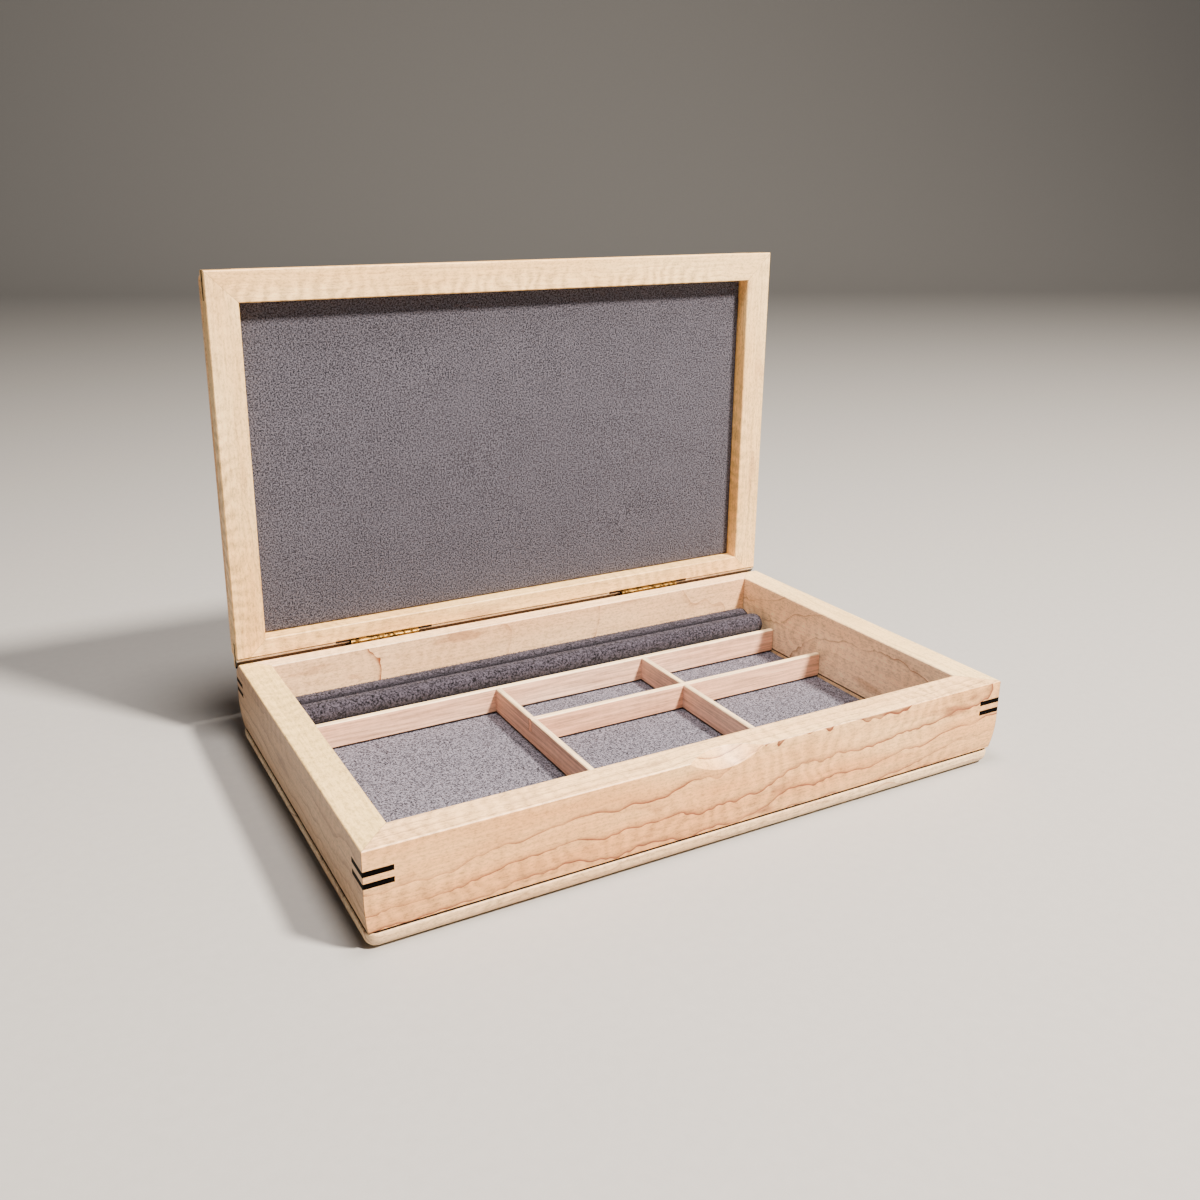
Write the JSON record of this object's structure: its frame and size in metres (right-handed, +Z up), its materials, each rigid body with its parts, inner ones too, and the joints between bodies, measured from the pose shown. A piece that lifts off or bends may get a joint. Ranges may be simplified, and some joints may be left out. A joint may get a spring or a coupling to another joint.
{
  "type": "hinged keepsake box",
  "caption": "Shallow hinged wooden keepsake box with mitred splined corners, a lined lid, a lift-out divider grid and a padded ring roll.",
  "frame": {"origin": "centre of the underside of the bottom panel, on the surface the box stands on", "axes": "+X to the right along the front, +Y towards the hinges at the back, +Z up"},
  "size_m": [0.34, 0.226, 0.2496],
  "materials": {
    "curly_maple": "figured maple, sanded and oiled, satin",
    "divider_maple": "straight-grained maple strip, sanded and sealed",
    "black_key": "black hardwood, flush sanded and oiled",
    "hinge_brass": "drawn brass, lightly polished",
    "lining_suede": "grey faux suede with a short nap",
    "lining_board": "grey card that backs the lining",
    "roll_foam": "soft foam core wrapped in grey cloth",
    "roll_velvet": "grey velvet over foam"
  },
  "bodies": {
    "base": {"base_front_rail": "curly_maple", "base_back_rail": "curly_maple", "base_left_rail": "curly_maple", "base_right_rail": "curly_maple", "bottom_panel": "curly_maple", "floor_board": "lining_board", "floor_cloth": "lining_suede", "base_key_front_left_upper": "black_key", "base_key_front_left_lower": "black_key", "base_key_front_right_upper": "black_key", "base_key_front_right_lower": "black_key", "base_key_back_left_upper": "black_key", "base_key_back_left_lower": "black_key", "base_key_back_right_upper": "black_key", "base_key_back_right_lower": "black_key", "hinge_base_leaf_left": "hinge_brass", "hinge_base_leaf_right": "hinge_brass", "hinge_pin_left": "hinge_brass", "hinge_pin_right": "hinge_brass"},
    "lid": {"lid_front_rail": "curly_maple", "lid_back_rail": "curly_maple", "lid_left_rail": "curly_maple", "lid_right_rail": "curly_maple", "lid_top_panel": "curly_maple", "lid_lining_board": "lining_board", "lid_lining_cloth": "lining_suede", "lid_key_front_left": "black_key", "lid_key_front_right": "black_key", "lid_key_back_left": "black_key", "lid_key_back_right": "black_key", "hinge_lid_leaf_left": "hinge_brass", "hinge_lid_leaf_right": "hinge_brass"},
    "divider_grid": {"divider_long_back": "divider_maple", "divider_long_front": "divider_maple", "divider_cross_left": "divider_maple", "divider_cross_right": "divider_maple"},
    "ring_roll": {"ring_roll_core": "roll_foam", "ring_roll_front": "roll_velvet", "ring_roll_back": "roll_velvet"}
  },
  "joints": [
    {"name": "lid_hinge", "type": "hinge", "parent": "base", "child": "lid", "pos_m": [0, 0.0992, 0.0462], "axis": [1, 0, 0], "range_deg": [0, 90]},
    {"name": "divider_lift", "type": "slide", "parent": "base", "child": "divider_grid", "axis": [0, 0, 1], "range_m": [0, 0.12]},
    {"name": "ring_roll_lift", "type": "slide", "parent": "base", "child": "ring_roll", "axis": [0, 0, 1], "range_m": [0, 0.12]}
  ]
}
